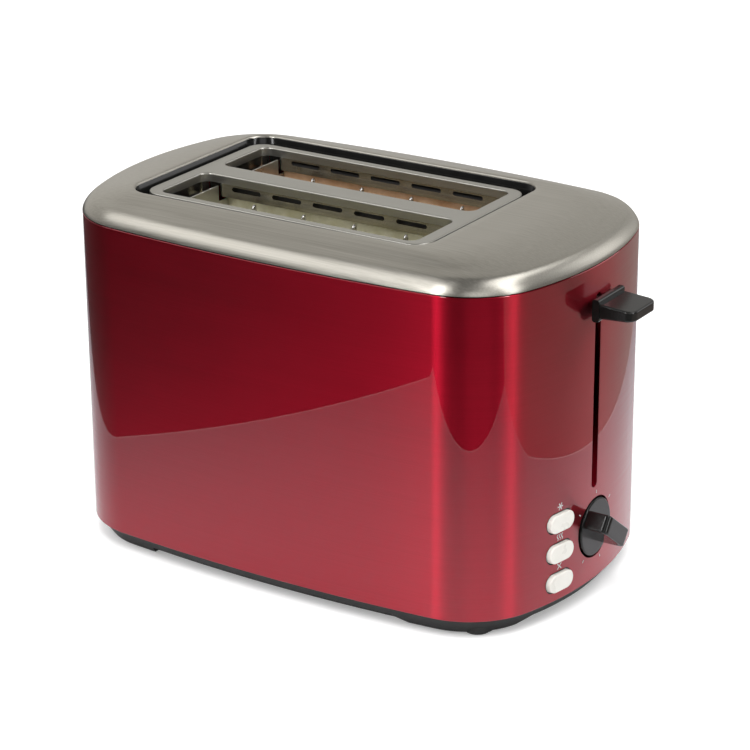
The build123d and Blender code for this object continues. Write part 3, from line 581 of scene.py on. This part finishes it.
# ------------------------------------------------------------------ bread guards
def tube(path, r, sides=10):
    """Rings round a path of points in mm, closed at both ends."""
    pts = [Vector(p) for p in path]
    rings = []
    for i, p in enumerate(pts):
        t = (pts[min(i + 1, len(pts) - 1)] - pts[max(i - 1, 0)]).normalized()
        side = t.cross(Vector((0, 1, 0)) if abs(t.y) < 0.9 else Vector((0, 0, 1))).normalized()
        up = side.cross(t)
        rings.append([tuple(p + r * (math.cos(a) * side + math.sin(a) * up))
                      for a in (2 * math.pi * k / sides for k in range(sides))])
    return loft_rings(rings, (True, True))


def merged(name, parts, material):
    verts, faces = [], []
    for v, f in parts:
        start = len(verts)
        verts += v
        faces += [tuple(start + i for i in face) for face in f]
    return mesh_object(name, verts, faces, material)


def build_guard(node):
    """Two rails and four upright wires, whose tops hook over towards the heater board."""
    lo, hi = box_mm(node)
    y = (lo.y + hi.y) / 2
    out = 1 if y > math.copysign(BREAD_SLOT_Y, y) else -1
    parts = []
    for z in (lo.z + 1.0, GUARD_TOP_RAIL_Z):
        parts.append(tube([(lo.x + (hi.x - lo.x) * i / 6, y, z) for i in range(7)], 1.0, 12))
    bend, bend_z = 1.1, 164.0
    for x in (CX + x for x in GUARD_WIRE_X):
        hook = [(x, y + out * bend * (1 - math.cos(a)), bend_z + bend * math.sin(a))
                for a in (math.radians(d) for d in range(0, 181, 30))]
        path = [(x, y, z) for z in (lo.z + 1.0, 60, 100, 140, 160)] + hook + [(x, y + out * 2 * bend, 161.6)]
        parts.append(tube(path, 0.62, 10))
    o = smooth(merged(node + "_wires", parts, WIRE), 50)
    return use(o, node, "wire", node)


def build_springs():
    """Two compression springs, which on the real toaster close up as the lever goes down; here they keep one
    length.
    """
    lo, hi = box_mm("lift_springs")
    cx = (lo.x + hi.x) / 2
    r, wire, turns, per_turn = 3.3, 0.5, 12, 16
    bottom, top = lo.z + wire, hi.z - wire
    steps = turns * per_turn
    for side, name in ((-1, "lift_spring_front"), (1, "lift_spring_rear")):
        cy = side * SPRING_Y
        angles = [2 * math.pi * i / per_turn for i in range(steps + 1)]
        path = [(cx + r * math.cos(a), cy + r * math.sin(a), bottom + (top - bottom) * i / steps)
                for i, a in enumerate(angles)]
        o = smooth(merged(name, [tube(path, wire, 8)], WIRE), 60)
        use(o, "housing", "spring_steel", "lift_springs")
        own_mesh(o)


def build_vent_shade_bar():
    """Dark bar between the two liners, painted shade: it closes the view from one slot's vents into the other.
    """
    lo, hi = box_mm("slot_liner_front")
    half, corner, z0, z1 = 2.4, 0.6, 167.8, 174.2
    profile = [(-half, z0 + corner), (corner - half, z0), (half - corner, z0), (half, z0 + corner),
               (half, z1 - corner), (half - corner, z1), (corner - half, z1), (-half, z1 - corner)]
    # a black bar as painted shade behind the vents
    use(prism_x("vent_shade_bar", profile, lo.x + 1, hi.x - 1, FRAME), "housing", "frame_plastic")


build_springs()
build_vent_shade_bar()
for name in ("guard_front_outer", "guard_front_inner", "guard_rear_inner", "guard_rear_outer"):
    build_guard(name)


# ------------------------------------------------------------------ printed marks on the lever end
def printed(name, polygons, cy, cz):
    """A flat printed shape just proud of the wall, from closed polygons in (y, z)."""
    verts, faces = [], []
    for poly in polygons:
        start = len(verts)
        for y, z in poly:
            verts.append((wall_x(cy + y) + 0.06, cy + y, cz + z))
        faces.append(tuple(range(start, start + len(poly))))
    o = mesh_object(name, verts, faces, PRINT)
    return use(o, "housing", "button_white")


def bar(y0, z0, y1, z1, w):
    """A straight stroke of width w."""
    d = math.hypot(y1 - y0, z1 - z0)
    ox, oz = -(z1 - z0) / d * w / 2, (y1 - y0) / d * w / 2
    return [(y0 + ox, z0 + oz), (y0 - ox, z0 - oz), (y1 - ox, z1 - oz), (y1 + ox, z1 + oz)]


def pictograms():
    """A snowflake, heat waves and a cross, one above each button."""
    flake = [bar(-1.9 * math.cos(a), -1.9 * math.sin(a), 1.9 * math.cos(a), 1.9 * math.sin(a), 0.5)
             for a in (0, math.pi / 3, 2 * math.pi / 3)]
    waves = []
    for k in (-1.5, 0, 1.5):
        pts = [(k + 0.45 * math.sin(i * 1.2), -1.6 + 0.53 * i) for i in range(7)]
        waves += [bar(*pts[i], *pts[i + 1], 0.5) for i in range(6)]
    cross = [bar(-1.4, -1.4, 1.4, 1.4, 0.55), bar(-1.4, 1.4, 1.4, -1.4, 0.55)]
    for name, shape in zip(BUTTONS, (flake, waves, cross)):
        c = box_middle(name)
        printed("mark_" + name, shape, c.y, c.z + 7.6)


def dial_marks():
    """Six ticks round the dial."""
    polygons = []
    for a in (math.radians(143 - 54 * i) for i in range(6)):
        c, s = math.cos(a), math.sin(a)
        polygons.append(bar(17.0 * c, 17.0 * s, 18.6 * c, 18.6 * s, 0.5))
    printed("dial_ticks", polygons, 0, box_middle("dial_shaft").z)


pictograms()
dial_marks()


# ------------------------------------------------------------------ floor, lights, camera
def stage_floor():
    """A pale floor that glows a little, so that it stays white away from the lights."""
    m, nt, p = new_material("pale_floor")
    fac = noise_node(nt, 3.0, 2.0)
    colour = tinted(nt, fac, (0.78, 0.78, 0.78), (0.80, 0.80, 0.80))
    nt.links.new(colour, p.inputs["Base Color"])
    nt.links.new(colour, p.inputs["Emission Color"])
    p.inputs["Emission Strength"].default_value = 0.33
    p.inputs["Roughness"].default_value = 0.6
    far = 30000
    corners = [(-far, -far, 0), (far, -far, 0), (far, far, 0), (-far, far, 0)]
    o = mesh_object("floor", corners, [(0, 1, 2, 3)], m)


def area(name, azimuth, elevation, distance, size, power, reflected=True):
    """A rectangular light in metres and watts, aimed at the toaster's middle."""
    data = bpy.data.lights.new(name, "AREA")
    data.shape, data.size, data.size_y = "RECTANGLE", size[0], size[1]
    data.energy, data.color = power, (1, 1, 1)
    o = bpy.data.objects.new(name, data)
    a, e = math.radians(azimuth), math.radians(elevation)
    direction = Vector((math.cos(a) * math.cos(e), math.sin(a) * math.cos(e), math.sin(e)))
    o.location = Vector((0, 0, 0.09)) + direction * distance
    o.rotation_euler = direction.to_track_quat("Z", "Y").to_euler()
    o.visible_glossy = reflected
    bpy.context.scene.collection.objects.link(o)


def card(name, dark, light, corners, z=1.0):
    """Flat surroundings on the floor, in mm from the body's middle, which only reflections see."""
    m, nt, p = new_material(name)
    nt.links.new(tinted(nt, noise_node(nt, 4.0, 2.0), dark, light), p.inputs["Base Color"])
    p.inputs["Roughness"].default_value = 0.9
    p.inputs["Specular IOR Level"].default_value = 0.0
    o = mesh_object(name, [(x + CX, y, z) for x, y in corners], [tuple(range(len(corners)))], m)
    o.visible_camera = o.visible_diffuse = o.visible_shadow = False
    return o


def paint_table_light_falloff(o):
    """Painted light falloff: the table gets darker away from the toaster, as the light on it falls off."""
    nt = o.data.materials[0].node_tree
    p = next(n for n in nt.nodes if n.type == "BSDF_PRINCIPLED")
    tc = nt.nodes.new("ShaderNodeTexCoord")
    length = nt.nodes.new("ShaderNodeVectorMath")
    length.operation = "LENGTH"
    nt.links.new(tc.outputs["Object"], length.inputs[0])
    # painted light falloff, from near to far
    shade = tinted(nt, length.outputs["Value"], (0.68, 0.68, 0.70), (0.28, 0.28, 0.30), (0.13, 0.40))
    nt.links.new(shade, p.inputs["Base Color"])


def surroundings():
    """A white wall behind, and a dim room in front."""
    world = bpy.data.worlds.new("studio")
    world.use_nodes = True
    nt = world.node_tree
    tc = nt.nodes.new("ShaderNodeTexCoord")
    dot = nt.nodes.new("ShaderNodeVectorMath")
    dot.operation = "DOT_PRODUCT"
    dot.inputs[1].default_value = (-0.75, 0.66, 0.0)        # towards the white wall
    nt.links.new(tc.outputs["Generated"], dot.inputs[0])
    nt.links.new(ranged(nt, dot.outputs["Value"], 0.08, 0.66, (0.0, 0.95)), nt.nodes["Background"].inputs[1])
    nt.nodes["Background"].inputs[0].default_value = (1.0, 0.98, 0.94, 1)
    bpy.context.scene.world = world


LIGHTS = (
    ("overhead", 90, 88, 2.2, (4.0, 4.0), 68, False),
    ("front_box", -138, 44, 1.9, (1.3, 1.0), 6.5),
    ("front_strip", -99, 28, 1.7, (0.20, 1.3), 10),
    ("end_strip", -5, 30, 1.6, (0.17, 1.3), 7),
    ("end_box", 57, 20, 1.9, (0.7, 0.8), 3),
    ("corner_fill", -48, 22, 1.9, (1.0, 1.0), 3.6),
    ("cover_box", 20, 60, 1.8, (1.5, 0.7), 9),
    ("slot_light", -62, 58, 2.0, (0.8, 0.8), 18, False),
)


def studio():
    """The lights, and the white table's edges with the darker room beyond them."""
    surroundings()
    for row in LIGHTS:
        area(*row)
    corner_a, corner_b = (-12, -406), (424, -141)
    left_far, right_far = (-1515, 1461), (-913, 1971)
    room_left, room_front, room_right, room_back = (-4000, 0), (-1000, -3000), (3000, -1200), (4000, 3000)
    grey = (0.5, 0.5, 0.5)
    table = card("table_far_part", grey, grey, [corner_b, right_far, left_far, corner_a], 0.5)
    paint_table_light_falloff(table)
    black = (0.010, 0.010, 0.010), (0.020, 0.020, 0.020)
    card("dark_left", *black, [corner_a, room_front, room_left, left_far])
    card("dark_front", *black, [corner_b, room_right, room_front, corner_a])
    card("brown_right", (0.21, 0.18, 0.16), (0.25, 0.22, 0.20), [corner_b, right_far, room_back, room_right])


def camera():
    """At the photograph's viewing angle."""
    data = bpy.data.cameras.new("camera")
    data.sensor_width, data.lens = 36.0, 133.19
    o = bpy.data.objects.new("camera", data)
    az, el, roll = math.radians(32.909), math.radians(21.279), math.radians(-0.351)
    back = Vector((math.sin(az) * math.cos(el), -math.cos(az) * math.cos(el), math.sin(el)))
    q = back.to_track_quat("Z", "Y")
    o.rotation_mode = "QUATERNION"
    o.rotation_quaternion = q @ Matrix.Rotation(roll, 3, "Z").to_quaternion()
    o.location = (0.6923 + CX * MM, -1.05572, 0.5774)
    data.clip_start, data.clip_end = 0.05, 80
    bpy.context.scene.collection.objects.link(o)
    bpy.context.scene.camera = o


stage_floor()
studio()
camera()
bpy.context.scene.view_settings.view_transform = "Standard"
